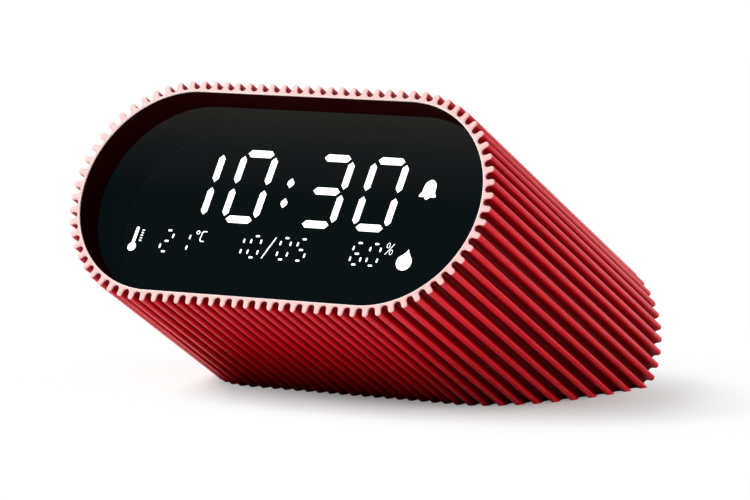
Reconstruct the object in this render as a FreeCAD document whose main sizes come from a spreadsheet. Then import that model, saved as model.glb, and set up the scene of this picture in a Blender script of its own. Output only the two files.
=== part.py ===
import FreeCAD, Part
import math
import os
import re
import Sketcher
from FreeCAD import Placement, Rotation, Vector

# Bedside clock: a ribbed sleeve of pill-shaped section lies tilted back on its rear edge, cut flat where
# it stands. The display sits deep in its front opening, the controls are on the back.
#
# Millimetres. The origin is on the table under the middle of the clock, +Z up, the display faces -Y.
# Most pieces are drawn in the face frame: X to the right, Y up the display, and a depth that is
# counted from the rim of the sleeve towards the back. The others are drawn level, by height.

DIMENSIONS = [
    # Whole body
    ("face_tilt", 30), ("face_height", 62.8), ("body_length", 114), ("flat_run", 70),
    ("rim_radius", 31), ("valley_radius", 31.85), ("tip_radius", 34.5),
    ("valley_round", 1.0), ("tip_round", 0.85), ("flank_lean", 6), ("groove_mouth", 3.3),
    ("groove_reach", 0.15), ("flat_pitches", 18), ("round_pitches", 26),
    ("small_sides", 8), ("medium_sides", 16),
    # Lens, gasket and case
    ("lens_recess", 10.2), ("lens_rear", 12.0), ("lens_radius", 30.9), ("case_front", 12.3),
    ("case_radius", 30.9), ("case_wall", 2.0), ("case_rear", 109), ("case_floor", 3.0),
    ("gasket_radius", 30.6), ("boss_radius", 3.6), ("boss_bore", 1.3),
    ("holder_boss_rear", 24), ("holder_boss_bore_rear", 23), ("cover_boss_front", 100),
    ("cover_boss_bore_front", 101), ("level_boss_top", 12), ("level_bore_top", 11),
    # Screw places: holder, cover, and the base at its front and rear
    ("holder_screw_x", 59.4), ("holder_screw_y", 7.8), ("upper_cover_screw_x", 22),
    ("upper_cover_screw_y", 26), ("lower_cover_screw_x", 60.9), ("front_base_screw_x", 30),
    ("front_base_screw_y", 1.5), ("rear_base_screw_x", 57.5), ("rear_base_screw_y", 26),
    ("gusset_thick", 2.0), ("front_gusset_reach", 7.5), ("rear_gusset_reach", 4.3),
    # Display stack
    ("holder_radius", 28.7), ("holder_rear", 16.3), ("glass_width", 106), ("glass_height", 40),
    ("glass_front", 12.5), ("glass_step", 13.9), ("glass_rear", 15.0), ("glass_ledge", 2.8),
    ("glass_gap", 0.2), ("pocket_rear", 15.1), ("guide_front", 15.4), ("guide_rear", 18.4),
    ("guide_width", 101.6), ("guide_top", 17.8), ("guide_bottom", -18.0), ("tray_rear", 19.6),
    ("tray_wall", 1.4), ("tray_gap", 0.2), ("strip_bottom", -20.0), ("strip_thick", 0.8),
    ("pin_slot_width", 96), ("pin_slot_bottom", 19.7), ("pin_slot_top", 20.9), ("pin_width", 0.5),
    ("pin_thick", 0.3), ("pin_pitch", 4.6), ("pin_count", 20), ("lamp_pitch", 12.4),
    ("lamp_width", 3.0), ("lamp_count", 8), ("lamp_inset", 0.5), ("lamp_gap", 0.1),
    ("counterbore_rear", 14.1), ("head_gap", 0.25),
    # Boards
    ("main_board_front", 21.9), ("main_board_rear", 23.5), ("main_board_width", 106),
    ("main_board_height", 42), ("post_radius", 2.6), ("post_x", 46), ("post_y", 14.5),
    ("post_bore", 1.05), ("post_bore_front", 19.2), ("control_front", 103.4), ("control_rear", 105),
    ("control_left", -32), ("control_right", 50), ("control_bottom", 0.5), ("control_top", 22.4),
    ("control_post_radius", 1.9), ("upper_post_x", 29), ("upper_post_y", 18.5),
    ("lower_post_x", 18), ("lower_post_y", 2.4), ("control_post_bore_rear", 108),
    ("small_hole", 1.15), ("chip_size", 12), ("chip_height", 1.6), ("chip_x", -20),
    ("capacitor_radius", 3.15), ("capacitor_height", 7.7), ("capacitor_x", 24), ("capacitor_pitch", 9),
    ("socket_width", 15), ("socket_deep", 5), ("socket_height", 2.2),
    # Back cover and what shows through it
    ("cover_rear", 111.5), ("cover_radius", 30.7), ("cover_counterbore", 110.3),
    ("button_count", 5), ("button_pitch", 12), ("button_row", 8), ("button_width", 9.1),
    ("button_height", 5.1), ("button_corner", 1.4), ("button_gap", 0.2), ("button_rear", 112.5),
    ("button_chamfer", 0.5), ("flange_front", 107.9), ("flange_rear", 108.9),
    ("flange_lip", 0.9), ("plunger_front", 105.9), ("plunger_radius", 1.6), ("well_radius", 1.7),
    ("well_front", 105.3), ("switch_rear", 107), ("switch_size", 6),
    ("port_row", 19.5), ("port_run", 5.68), ("port_radius", 1.63), ("port_wall", 0.3),
    ("port_rear", 111.2), ("port_gap", 0.2), ("tongue_width", 6.69), ("tongue_thick", 0.7),
    ("tongue_rear", 110.6), ("tongue_base_rear", 106.4), ("tongue_base_height", 2.4),
    ("slider_x", 35.5), ("slider_travel", 2.0), ("slider_width", 3.0), ("slider_height", 2.0),
    ("slider_gap", 0.2), ("slider_front", 106.9), ("slider_rear", 112.3), ("skirt_front", 108.45),
    ("skirt_rear", 108.85), ("skirt_width", 7.0), ("skirt_height", 3.2), ("slide_body_rear", 108.3),
    ("slide_body_width", 9.6), ("slide_body_height", 4.4), ("slide_slot_front", 106.7),
    ("vent_x", 45.5), ("vent_width", 1.2), ("vent_height", 7.0), ("vent_pitch", 2.4), ("vent_count", 4),
    ("sensor_size", 3.0), ("sensor_rear", 106.1),
    ("speaker_x", -46), ("speaker_y", 9), ("speaker_radius", 12), ("speaker_rear", 108.2),
    ("speaker_wall", 1.2), ("speaker_gap", 0.2), ("speaker_wall_front", 104),
    ("speaker_ring", 10.4), ("magnet_radius", 7), ("magnet_front", 99), ("magnet_rear", 103),
    ("basket_sheet", 0.6), ("cone_front", 106.4), ("cone_dome", 4.2), ("cone_sheet", 0.4),
    ("cone_rear", 107.6), ("grille_count", 7), ("grille_slot", 1.3), ("grille_pitch", 2.6),
    ("grille_reach", 9.4),
    # Base, weight and battery
    ("base_under", 0.8), ("pad_top", 2.0), ("pad_front", 5.5), ("pad_rear", 38),
    ("pad_front_half", 33), ("pad_rear_half", 54), ("pad_corner", 4), ("pad_gap", 0.2),
    ("plate_width", 90), ("plate_front", 6), ("plate_rear", 38), ("plate_top", 6),
    ("stud_x", 40), ("stud_y", 22), ("stud_radius", 3.0), ("stud_gap", 0.2), ("stud_bore", 1.3),
    ("stud_bore_bottom", 2.6),
    ("cradle_top", 7.5), ("cradle_width", 88), ("cradle_front", 10), ("cradle_rear", 34),
    ("cell_radius", 9.2), ("cell_length", 65), ("cell_height", 16.8), ("cell_gap", 0.1),
    ("cradle_end_inner", 69), ("cradle_end_outer", 72), ("cradle_end_top", 13),
    ("saddle_x", 18), ("saddle_thick", 3), ("saddle_top", 14),
    # Fasteners
    ("screw_radius", 1.25), ("screw_head", 2.2), ("screw_head_height", 1.2), ("screw_length", 8),
    ("small_screw_radius", 1.0), ("small_screw_head", 1.9), ("small_screw_length", 4),
    ("small_head_height", 1.2), ("clearance_hole", 1.6),
    # Leads
    ("ribbon_width", 12), ("ribbon_thick", 0.3), ("ribbon_row", 14), ("ribbon_sag", 3.2),
    ("battery_lead_thick", 1.6), ("battery_lead_bend", 6.3), ("lead_start_depth", 83.9),
    ("lead_start_row", -1), ("lead_row", 13), ("speaker_lead_thick", 1.2), ("speaker_lead_bend", 1.7),
    ("speaker_lead_start", 9.4), ("speaker_lead_inset", 2.5), ("speaker_lead_rear", 103),
    ("speaker_lead_front", 99.5),
]

doc = FreeCAD.newDocument("BedsideClock")
sheet = doc.addObject("Spreadsheet::Sheet", "Dims")
for row, (alias, number) in enumerate(DIMENSIONS, start=1):
    sheet.set("A%d" % row, alias)
    sheet.set("B%d" % row, str(number))
    sheet.setAlias("B%d" % row, alias)
doc.recompute()

UP = Vector(0, 0, 1)
Constraint = Sketcher.Constraint
ORIGIN = (-1, 1)
Y_AXIS = -2


def bound(expression):
    """The expression with the sheet's name before each alias, which always holds an underscore."""
    return re.sub(r"\b([a-z]+(?:_[a-z]+)+)\b", r"Dims.\1", expression)


def value(expression):
    return float(sheet.evalExpression(bound(expression)))


# The two frames. The face frame has its XY plane on the rim of the sleeve and looks out of the display.
FACE = Placement(Vector(0, -value("body_length*cos(face_tilt)/2"), value("face_height")),
                 Rotation(Vector(1, 0, 0), 90 - value("face_tilt")))
LEVEL = Placement()
DIRECTION = {"face": -1, "level": 1}
FRAMES = {"face": FACE, "level": LEVEL}


def constrain(sketch, constraint, expression):
    index = sketch.addConstraint(constraint)
    sketch.setExpression("Constraints[%d]" % index, bound(expression))


def locate(sketch, edge, point, x, y):
    constrain(sketch, Constraint("DistanceX", *ORIGIN, edge, point, value(x)), x)
    constrain(sketch, Constraint("DistanceY", *ORIGIN, edge, point, value(y)), y)


def regular(sketch, sides, radius, x="0", y="0"):
    """A regular polygon with its corners on a circle. Small rounds are drawn so, to save faces."""
    centre = Vector(value(x), value(y), 0)
    rim = sketch.addGeometry(Part.Circle(centre, UP, value(radius)), True)
    angles = [math.radians(-90 + (k - 0.5) * 360 / sides) for k in range(sides)]
    corners = [centre + Vector(math.cos(angle), math.sin(angle), 0) * value(radius) for angle in angles]
    first = closed_lines(sketch, [(corner.x, corner.y) for corner in corners])
    for line in range(first, first + sides):
        sketch.addConstraint(Constraint("PointOnObject", line, 1, rim))
    for line in range(first + 1, first + sides):
        sketch.addConstraint(Constraint("Equal", first, line))
    sketch.addConstraint(Constraint("Horizontal", first))
    constrain(sketch, Constraint("Radius", rim, value(radius)), radius)
    locate(sketch, rim, 3, x, y)


def small_round(sketch, radius, x="0", y="0"):
    regular(sketch, int(value("small_sides")), radius, x, y)


def medium_round(sketch, radius, x="0", y="0"):
    regular(sketch, int(value("medium_sides")), radius, x, y)


def closed_lines(sketch, corners):
    """Lines through the corners, each given as two numbers, joined end to end."""
    points = [Vector(x, y, 0) for x, y in corners]
    lines = [Part.LineSegment(a, b) for a, b in zip(points, points[1:] + points[:1])]
    first = sketch.addGeometry(lines, False)[0]
    for i in range(len(lines)):
        following = first + (i + 1) % len(lines)
        sketch.addConstraint(Constraint("Coincident", first + i, 2, following, 1))
    return first


def rectangle(sketch, left, right, bottom, top):
    x0, x1, y0, y1 = (value(side) for side in (left, right, bottom, top))
    first = closed_lines(sketch, [(x0, y0), (x1, y0), (x1, y1), (x0, y1)])
    sketch.addConstraint([Constraint("Horizontal", first), Constraint("Vertical", first + 1),
                          Constraint("Horizontal", first + 2), Constraint("Vertical", first + 3)])
    locate(sketch, first, 1, left, bottom)
    locate(sketch, first + 2, 1, right, top)


def centred_box(sketch, width, height, x="0", y="0"):
    rectangle(sketch, "%s-(%s)/2" % (x, width), "%s+(%s)/2" % (x, width),
              "%s-(%s)/2" % (y, height), "%s+(%s)/2" % (y, height))


def polygon(sketch, corners):
    """A closed outline whose corners are pairs of expressions."""
    first = closed_lines(sketch, [(value(x), value(y)) for x, y in corners])
    for i, (x, y) in enumerate(corners):
        locate(sketch, first + i, 1, x, y)


def pill(sketch, run, radius, x="0", y="0"):
    """Two half circles, their centres a run apart along X, joined by straight lines."""
    half, reach, across, up = value(run) / 2, value(radius), value(x), value(y)
    right_centre = Vector(across + half, up, 0)
    left_centre = Vector(across - half, up, 0)
    right_arc = Part.ArcOfCircle(Part.Circle(right_centre, UP, reach), -math.pi / 2, math.pi / 2)
    left_arc = Part.ArcOfCircle(Part.Circle(left_centre, UP, reach), math.pi / 2, 3 * math.pi / 2)
    rise = Vector(0, reach, 0)
    top = Part.LineSegment(right_centre + rise, left_centre + rise)
    bottom = Part.LineSegment(left_centre - rise, right_centre - rise)
    first = sketch.addGeometry([right_arc, top, left_arc, bottom], False)[0]
    sketch.addConstraint([
        Constraint("Tangent", first, 2, first + 1, 1), Constraint("Tangent", first + 1, 2, first + 2, 1),
        Constraint("Tangent", first + 2, 2, first + 3, 1), Constraint("Tangent", first + 3, 2, first, 1),
        Constraint("Horizontal", first + 1)])
    constrain(sketch, Constraint("Radius", first, reach), radius)
    locate(sketch, first, 3, "%s+(%s)/2" % (x, run), y)
    constrain(sketch, Constraint("DistanceX", *ORIGIN, first + 2, 3, left_centre.x), "%s-(%s)/2" % (x, run))


class Piece:
    """A body made of slices. A slice runs from one depth, or one height, to a greater one."""

    def __init__(self, label, frame):
        self.body = doc.addObject("PartDesign::Body", label)
        self.body.Label = label
        self.body.Placement = FRAMES[frame]
        self.frame = frame

    def plane(self, role):
        return [plane for plane in self.body.Origin.OriginFeatures if plane.Role == role][0]

    def sketch(self, name, start, frame):
        sketch = self.body.newObject("Sketcher::SketchObject", name + "Sketch")
        sketch.AttachmentSupport = [(self.plane("XY_Plane"), "")]
        sketch.MapMode = "FlatFace"
        direction = DIRECTION[frame]
        shift = Placement(UP * (direction * value(start)), Rotation())
        sketch.AttachmentOffset = FRAMES[self.frame].inverse().multiply(FRAMES[frame]).multiply(shift)
        if frame == self.frame:
            sketch.setExpression("AttachmentOffset.Base.z", "%d*(%s)" % (direction, bound(start)))
        return sketch

    def slice(self, kind, name, start, end, draw, frame):
        frame = frame or self.frame
        sketch = self.sketch(name, start, frame)
        draw(sketch)
        feature = self.body.newObject("PartDesign::" + kind, name)
        feature.Profile = sketch
        feature.Reversed = (DIRECTION[frame] < 0) == (kind == "Pad")
        feature.setExpression("Length", bound("(%s)-(%s)" % (end, start)))
        return feature

    def add(self, name, start, end, draw, frame=None):
        return self.slice("Pad", name, start, end, draw, frame)

    def cut(self, name, start, end, draw, frame=None):
        return self.slice("Pocket", name, start, end, draw, frame)

    def stand_on(self, height):
        """Cuts everything away below a level plane."""
        self.cut("StandOn", "-body_length", height, table_sized, "level")


def table_sized(sketch):
    centred_box(sketch, "4*body_length", "4*body_length")


def mirrored_rounds(radius, x, y):
    def draw(sketch):
        small_round(sketch, radius, "-(%s)" % x, y)
        small_round(sketch, radius, x, y)
    return draw


def four_rounds(radius, x, y):
    return both(mirrored_rounds(radius, x, y), mirrored_rounds(radius, x, "-(%s)" % y))


def mirrored_boxes(left, right, bottom, top):
    """A rectangle on the right and its mirror image on the left."""
    def draw(sketch):
        rectangle(sketch, left, right, bottom, top)
        rectangle(sketch, "-(%s)" % right, "-(%s)" % left, bottom, top)
    return draw


def pill_of(radius):
    return lambda s: pill(s, "flat_run", radius)


def pill_ring(outer, inner):
    return both(pill_of(outer), pill_of(inner))


def both(*drawings):
    def draw(sketch):
        for drawing in drawings:
            drawing(sketch)
    return draw


def screws(label, frame, shank, head, holes, small=False):
    """A set of like screws: shanks and heads as slices at each of the holes, a function of a radius."""
    prefix = "small_" if small else ""
    piece = Piece(label, frame)
    piece.add("Shanks", shank[0], shank[1], holes(prefix + "screw_radius"))
    piece.add("Heads", head[0], head[1], holes(prefix + "screw_head"))


def holder_screw_places(radius):
    return four_rounds(radius, "holder_screw_x", "holder_screw_y")


def board_screw_places(radius):
    return four_rounds(radius, "post_x", "post_y")


def cover_screw_places(radius):
    return both(mirrored_rounds(radius, "upper_cover_screw_x", "upper_cover_screw_y"),
                mirrored_rounds(radius, "lower_cover_screw_x", "0"))


def control_screw_places(radius):
    return both(mirrored_rounds(radius, "upper_post_x", "upper_post_y"),
                mirrored_rounds(radius, "lower_post_x", "lower_post_y"))


def base_screw_places(radius):
    return both(mirrored_rounds(radius, "front_base_screw_x", "front_base_screw_y"),
                mirrored_rounds(radius, "rear_base_screw_x", "rear_base_screw_y"))


def cradle_screw_places(radius):
    return mirrored_rounds(radius, "stud_x", "stud_y")


# Ribbed sleeve
def groove_corners():
    """Right half of a groove's outline from its floor up: faceted valley, flank, bevelled tip."""
    valley_centre = ("0", "valley_radius+valley_round")
    tip_centre = ("flat_run/flat_pitches/2", "tip_radius-tip_round")

    def on_round(centre, radius, degrees):
        return ("%s+%s*cos(%s)" % (centre[0], radius, degrees),
                "%s+%s*sin(%s)" % (centre[1], radius, degrees))

    valley = [on_round(valley_centre, "valley_round", "(-90+(90-flank_lean)*%s)" % share)
              for share in ("1/3", "1")]
    shoulder = on_round(tip_centre, "tip_round", "(180-flank_lean)")
    return valley + [shoulder, ("groove_mouth/2", "tip_radius+groove_reach")]


def groove(sleeve, name, x, degrees):
    sketch = sleeve.sketch(name, "0", "face")
    sketch.AttachmentOffset = Placement(Vector(x, 0, 0), Rotation(UP, degrees))
    half = groove_corners()
    polygon(sketch, half + [("-(%s)" % x, y) for x, y in reversed(half)])
    pocket = sleeve.body.newObject("PartDesign::Pocket", name)
    pocket.Profile = sketch
    pocket.Type = "ThroughAll"
    return sketch, pocket


def repeat(body, name, feature, pattern, mirror_plane):
    """Repeats a feature by a pattern, then mirrors all of it."""
    mirror = body.newObject("PartDesign::Mirrored", name + "Mirror")
    mirror.MirrorPlane = (mirror_plane, [""])
    transform = body.newObject("PartDesign::MultiTransform", name)
    transform.Originals = [feature]
    transform.Transformations = [pattern, mirror]
    body.Tip = transform


def ribbed_sleeve():
    sleeve = Piece("ribbed_sleeve", "face")
    body = sleeve.body
    sleeve.add("Tube", "0", "body_length", pill_ring("tip_radius", "rim_radius"))
    sketch, pocket = groove(sleeve, "FlatGroove", value("flat_run/flat_pitches-flat_run") / 2, 0)
    doc.recompute()
    along = body.newObject("PartDesign::LinearPattern", "AlongFlat")
    along.Direction = (sketch, ["H_Axis"])
    along.setExpression("Length", bound("flat_run-flat_run/flat_pitches"))
    along.setExpression("Occurrences", bound("flat_pitches"))
    repeat(body, "FlatGrooves", pocket, along, sleeve.plane("XZ_Plane"))
    doc.recompute()
    sketch, pocket = groove(sleeve, "RoundGroove", value("flat_run/2"), value("-90/round_pitches"))
    doc.recompute()
    around = body.newObject("PartDesign::PolarPattern", "AroundEnd")
    around.Axis = (sketch, ["N_Axis"])
    around.setExpression("Angle", bound("180-180/round_pitches"))
    around.setExpression("Occurrences", bound("round_pitches"))
    around.Reversed = True
    repeat(body, "RoundGrooves", pocket, around, sleeve.plane("YZ_Plane"))
    doc.recompute()
    sleeve.stand_on("0")


# Lens, gasket and display stack
def display_lens():
    Piece("display_lens", "face").add("Lens", "lens_recess", "lens_rear", pill_of("lens_radius"))


def lens_gasket():
    gasket = Piece("lens_gasket", "face")
    gasket.add("Ring", "lens_rear", "case_front", pill_ring("gasket_radius", "case_radius-case_wall"))


def lcd_holder():
    """Plate with a pocket for the glass, and behind it a tray for the light guide and its lamps."""
    holder = Piece("lcd_holder", "face")
    tray_half = "(guide_width/2+tray_gap)"
    tray_low, tray_high = "(strip_bottom-tray_gap)", "(guide_top+tray_gap)"
    holder.add("Plate", "case_front", "holder_rear", pill_of("holder_radius"))
    holder.add("Tray", "holder_rear", "tray_rear", lambda s: rectangle(
        s, "-%s-tray_wall" % tray_half, "%s+tray_wall" % tray_half,
        "%s-tray_wall" % tray_low, "%s+tray_wall" % tray_high))
    holder.add("Posts", "tray_rear", "main_board_front", board_screw_places("post_radius"))
    holder.cut("GlassPocket", "case_front", "pocket_rear", lambda s: centred_box(
        s, "glass_width+2*glass_gap", "glass_height+2*glass_gap"))
    holder.cut("TrayPocket", "case_front", "guide_rear", lambda s: rectangle(
        s, "-%s" % tray_half, tray_half, tray_low, tray_high))
    holder.cut("PinSlot", "case_front", "holder_rear", lambda s: rectangle(
        s, "-pin_slot_width/2", "pin_slot_width/2", "pin_slot_bottom", "pin_slot_top"))
    holder.cut("ScrewHoles", "case_front", "holder_rear", holder_screw_places("clearance_hole"))
    holder.cut("Counterbores", "case_front", "counterbore_rear",
               holder_screw_places("(screw_head+head_gap)"))
    holder.cut("PostBores", "post_bore_front", "main_board_front", board_screw_places("post_bore"))


def lcd_panel():
    """Two sheets of glass. The rear one stands out above the front one, for the pins."""
    panel = Piece("lcd_panel", "face")
    panel.add("FrontGlass", "glass_front", "glass_step", lambda s: rectangle(
        s, "-glass_width/2", "glass_width/2", "-glass_height/2", "glass_height/2-glass_ledge"))
    panel.add("RearGlass", "glass_step", "glass_rear", lambda s: centred_box(
        s, "glass_width", "glass_height"))


def row_of_boxes(count, pitch, width, bottom, top, x="0"):
    """Like rectangles side by side, centred on x."""
    def draw(sketch):
        for k in range(int(value(count))):
            middle = "(%s+(%d-(%s-1)/2)*%s)" % (x, k, count, pitch)
            rectangle(sketch, "%s-%s/2" % (middle, width), "%s+%s/2" % (middle, width), bottom, top)
    return draw


def lcd_pins():
    """Each pin has a foot on the ledge of the glass and a leg down to the main board."""
    pins = Piece("lcd_pins", "face")
    edge = "(glass_height/2)"
    pins.add("Legs", "glass_step-pin_thick", "main_board_front", row_of_boxes(
        "pin_count", "pin_pitch", "pin_width", edge, edge + "+pin_thick"))
    pins.add("Feet", "glass_step-pin_thick", "glass_step", row_of_boxes(
        "pin_count", "pin_pitch", "pin_width", edge + "-0.8*glass_ledge", edge))


def light_guide():
    Piece("light_guide", "face").add("Guide", "guide_front", "guide_rear", lambda s: rectangle(
        s, "-guide_width/2", "guide_width/2", "guide_bottom", "guide_top"))


def led_strip():
    """A strip below the light guide, with a row of lamps that shine up into its edge."""
    strip = Piece("led_strip", "face")
    lamp_foot = "(strip_bottom+strip_thick)"
    strip.add("Strip", "guide_front", "guide_rear", lambda s: rectangle(
        s, "-guide_width/2", "guide_width/2", "strip_bottom", lamp_foot))
    strip.add("Lamps", "guide_front+lamp_inset", "guide_rear-lamp_inset", row_of_boxes(
        "lamp_count", "lamp_pitch", "lamp_width", lamp_foot, "guide_bottom-lamp_gap"))


# Main board and what it carries
def main_board():
    board = Piece("main_board", "face")
    board.add("Board", "main_board_front", "main_board_rear", lambda s: centred_box(
        s, "main_board_width", "main_board_height"))
    board.cut("ScrewHoles", "main_board_front", "main_board_rear", board_screw_places("small_hole"))


def mcu_chip():
    chip = Piece("mcu_chip", "face")
    chip.add("Chip", "main_board_rear", "main_board_rear+chip_height", lambda s: centred_box(
        s, "chip_size", "chip_size", "chip_x", "0"))


def board_capacitors():
    caps = Piece("board_capacitors", "face")
    caps.add("Cans", "main_board_rear", "main_board_rear+capacitor_height", both(
        lambda s: small_round(s, "capacitor_radius", "capacitor_x", "0"),
        lambda s: small_round(s, "capacitor_radius", "capacitor_x+capacitor_pitch", "0")))


def ribbon_sockets():
    """One socket behind the main board and one in front of the control board, facing each other."""
    def outline(sketch):
        centred_box(sketch, "socket_width", "socket_deep", "0", "ribbon_row")
    sockets = Piece("ribbon_sockets", "face")
    sockets.add("MainSocket", "main_board_rear", "main_board_rear+socket_height", outline)
    sockets.add("ControlSocket", "control_front-socket_height", "control_front", outline)


# Case
def inner_case():
    case = Piece("inner_case", "face")
    case.add("Wall", "case_front", "case_rear", pill_ring("case_radius", "case_radius-case_wall"))
    case.add("HolderBosses", "holder_rear", "holder_boss_rear", holder_screw_places("boss_radius"))
    case.add("CoverBosses", "cover_boss_front", "case_rear", cover_screw_places("boss_radius"))
    case.add("BaseBosses", "case_floor", "level_boss_top", base_screw_places("boss_radius"), "level")
    case.add("FrontGussets", "case_floor", "level_boss_top", mirrored_boxes(
        "front_base_screw_x-gusset_thick/2", "front_base_screw_x+gusset_thick/2",
        "front_base_screw_y-front_gusset_reach", "front_base_screw_y"), "level")
    case.add("RearGussets", "case_floor", "level_boss_top", mirrored_boxes(
        "rear_base_screw_x", "rear_base_screw_x+rear_gusset_reach",
        "rear_base_screw_y-gusset_thick/2", "rear_base_screw_y+gusset_thick/2"), "level")
    case.stand_on("case_floor")
    case.cut("HolderBores", "holder_rear", "holder_boss_bore_rear", holder_screw_places("boss_bore"))
    case.cut("CoverBores", "cover_boss_bore_front", "case_rear", cover_screw_places("boss_bore"))
    case.cut("BaseBores", "case_floor", "level_bore_top", base_screw_places("boss_bore"), "level")


# Base, weight and battery
def pad_outline(gap):
    """A rubber pad as wide as the flat of the sleeve allows, with its corners cut off."""
    def draw(sketch):
        front, rear = "(pad_front-%s)" % gap, "(pad_rear+%s)" % gap
        front_half, rear_half = "(pad_front_half+%s)" % gap, "(pad_rear_half+%s)" % gap
        right = [("%s-pad_corner" % front_half, front), (front_half, "%s+pad_corner" % front),
                 (rear_half, "%s-pad_corner" % rear), ("%s-pad_corner" % rear_half, rear)]
        polygon(sketch, right + [("-(%s)" % x, y) for x, y in reversed(right)])
    return draw


def base_plate():
    plate = Piece("base_plate", "face")
    plate.add("Plate", "body_length/2", "cover_rear", pill_of("cover_radius"))
    plate.cut("Above", "case_floor", "case_floor+body_length", table_sized, "level")
    plate.stand_on("base_under")
    plate.add("Studs", "case_floor", "plate_top", cradle_screw_places("stud_radius"), "level")
    plate.cut("StudBores", "stud_bore_bottom", "plate_top", cradle_screw_places("stud_bore"), "level")
    plate.cut("PadRecess", "base_under", "pad_top", pad_outline("pad_gap"), "level")
    plate.cut("ScrewHoles", "base_under", "case_floor", base_screw_places("clearance_hole"), "level")
    plate.cut("Counterbores", "base_under", "base_under+screw_head_height",
              base_screw_places("(screw_head+head_gap)"), "level")


def foot_pad():
    Piece("foot_pad", "level").add("Pad", "0", "pad_top", pad_outline("0"))


def ballast_plate():
    ballast = Piece("ballast_plate", "level")
    ballast.add("Plate", "case_floor", "plate_top", lambda s: rectangle(
        s, "-plate_width/2", "plate_width/2", "plate_front", "plate_rear"))
    ballast.cut("StudHoles", "case_floor", "plate_top", cradle_screw_places("(stud_radius+stud_gap)"))


def along_x(piece, kind, name, radius, length):
    """A round slice that lies along X on the battery cell's axis."""
    sketch = piece.body.newObject("Sketcher::SketchObject", name + "Sketch")
    sketch.AttachmentSupport = [(piece.plane("YZ_Plane"), "")]
    sketch.MapMode = "FlatFace"
    medium_round(sketch, radius, "stud_y", "cell_height")
    feature = piece.body.newObject("PartDesign::" + kind, name)
    feature.Profile = sketch
    feature.SideType = "Symmetric"
    feature.setExpression("Length", bound(length))


def battery_cradle():
    cradle = Piece("battery_cradle", "level")
    front, rear = "cradle_front", "cradle_rear"
    cradle.add("Floor", "plate_top", "cradle_top", lambda s: rectangle(
        s, "-cradle_width/2", "cradle_width/2", front, rear))
    cradle.add("Ends", "cradle_top", "cradle_end_top", mirrored_boxes(
        "cradle_end_inner/2", "cradle_end_outer/2", front, rear))
    cradle.add("Saddles", "cradle_top", "saddle_top", mirrored_boxes(
        "saddle_x-saddle_thick/2", "saddle_x+saddle_thick/2", front, rear))
    along_x(cradle, "Pocket", "CellSeat", "(cell_radius+cell_gap)", "cradle_end_inner")
    cradle.cut("ScrewHoles", "plate_top", "cradle_top", cradle_screw_places("clearance_hole"))


def battery_cell():
    along_x(Piece("battery_cell", "level"), "Pad", "Cell", "cell_radius", "cell_length")


# Back cover, controls and speaker
def button_wells(sketch):
    for place in BUTTONS.values():
        small_round(sketch, "well_radius", "(%d*button_pitch)" % place, "button_row")


def button_outline(place, growth):
    """A rectangle with its corners cut off, larger than the button all round by the growth."""
    def draw(sketch):
        middle = "(%d*button_pitch)" % place
        half_width, half_height = "(button_width/2+%s)" % growth, "(button_height/2+%s)" % growth
        right = [("%s+%s-button_corner" % (middle, half_width), "button_row-%s" % half_height),
                 ("%s+%s" % (middle, half_width), "button_row-%s+button_corner" % half_height),
                 ("%s+%s" % (middle, half_width), "button_row+%s-button_corner" % half_height),
                 ("%s+%s-button_corner" % (middle, half_width), "button_row+%s" % half_height)]
        left = [("2*%s-(%s)" % (middle, x), y) for x, y in reversed(right)]
        polygon(sketch, right + left)
    return draw


def slider_slot(sketch):
    centred_box(sketch, "slider_width+slider_travel+2*slider_gap", "slider_height+2*slider_gap",
                "(slider_x+slider_travel/2)", "button_row")


def speaker_round(radius):
    return lambda s: medium_round(s, radius, "speaker_x", "speaker_y")


def grille_slots(sketch):
    """Upright slots side by side, as long as a circle round the speaker's axis lets them be."""
    for k in range(int(value("grille_count"))):
        across = "((%d-(grille_count-1)/2)*grille_pitch)" % k
        reach = "sqrt(grille_reach^2-%s^2)" % across
        rectangle(sketch, "speaker_x+%s-grille_slot/2" % across, "speaker_x+%s+grille_slot/2" % across,
                  "speaker_y-%s" % reach, "speaker_y+%s" % reach)


def back_cover():
    cover = Piece("back_cover", "face")
    inside, outside = "case_rear", "cover_rear"
    cover.add("Plate", inside, outside, pill_of("cover_radius"))
    cover.stand_on("case_floor")
    cover.add("SpeakerWall", "speaker_wall_front", inside, both(
        speaker_round("(speaker_radius+speaker_gap)"),
        speaker_round("(speaker_radius+speaker_gap+speaker_wall)")))
    cover.add("BoardPosts", "control_rear", inside, control_screw_places("control_post_radius"))
    cover.cut("PostBores", "control_rear", "control_post_bore_rear", control_screw_places("post_bore"))
    cover.cut("ScrewHoles", inside, outside, cover_screw_places("clearance_hole"))
    cover.cut("Counterbores", "cover_counterbore", outside, cover_screw_places("(screw_head+head_gap)"))
    for name, place in BUTTONS.items():
        cover.cut(name.title() + "Hole", inside, outside, button_outline(place, "button_gap"))
    cover.cut("PortHole", inside, outside, lambda s: pill(
        s, "port_run", "(port_radius+port_gap)", "0", "port_row"))
    cover.cut("SliderSlot", inside, outside, slider_slot)
    cover.cut("Vents", inside, outside, row_of_boxes(
        "vent_count", "vent_pitch", "vent_width",
        "button_row-vent_height/2", "button_row+vent_height/2", "vent_x"))
    cover.cut("Grille", inside, outside, grille_slots)


def control_board():
    board = Piece("control_board", "face")
    board.add("Board", "control_front", "control_rear", lambda s: rectangle(
        s, "control_left", "control_right", "control_bottom", "control_top"))
    board.cut("ScrewHoles", "control_front", "control_rear", control_screw_places("small_hole"))


def tact_switches():
    """A square switch under each button, with a well for its plunger."""
    switches = Piece("tact_switches", "face")
    switches.add("Bodies", "control_rear", "switch_rear", row_of_boxes(
        "button_count", "button_pitch", "switch_size",
        "button_row-switch_size/2", "button_row+switch_size/2"))
    switches.cut("Wells", "well_front", "switch_rear", button_wells)


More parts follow.
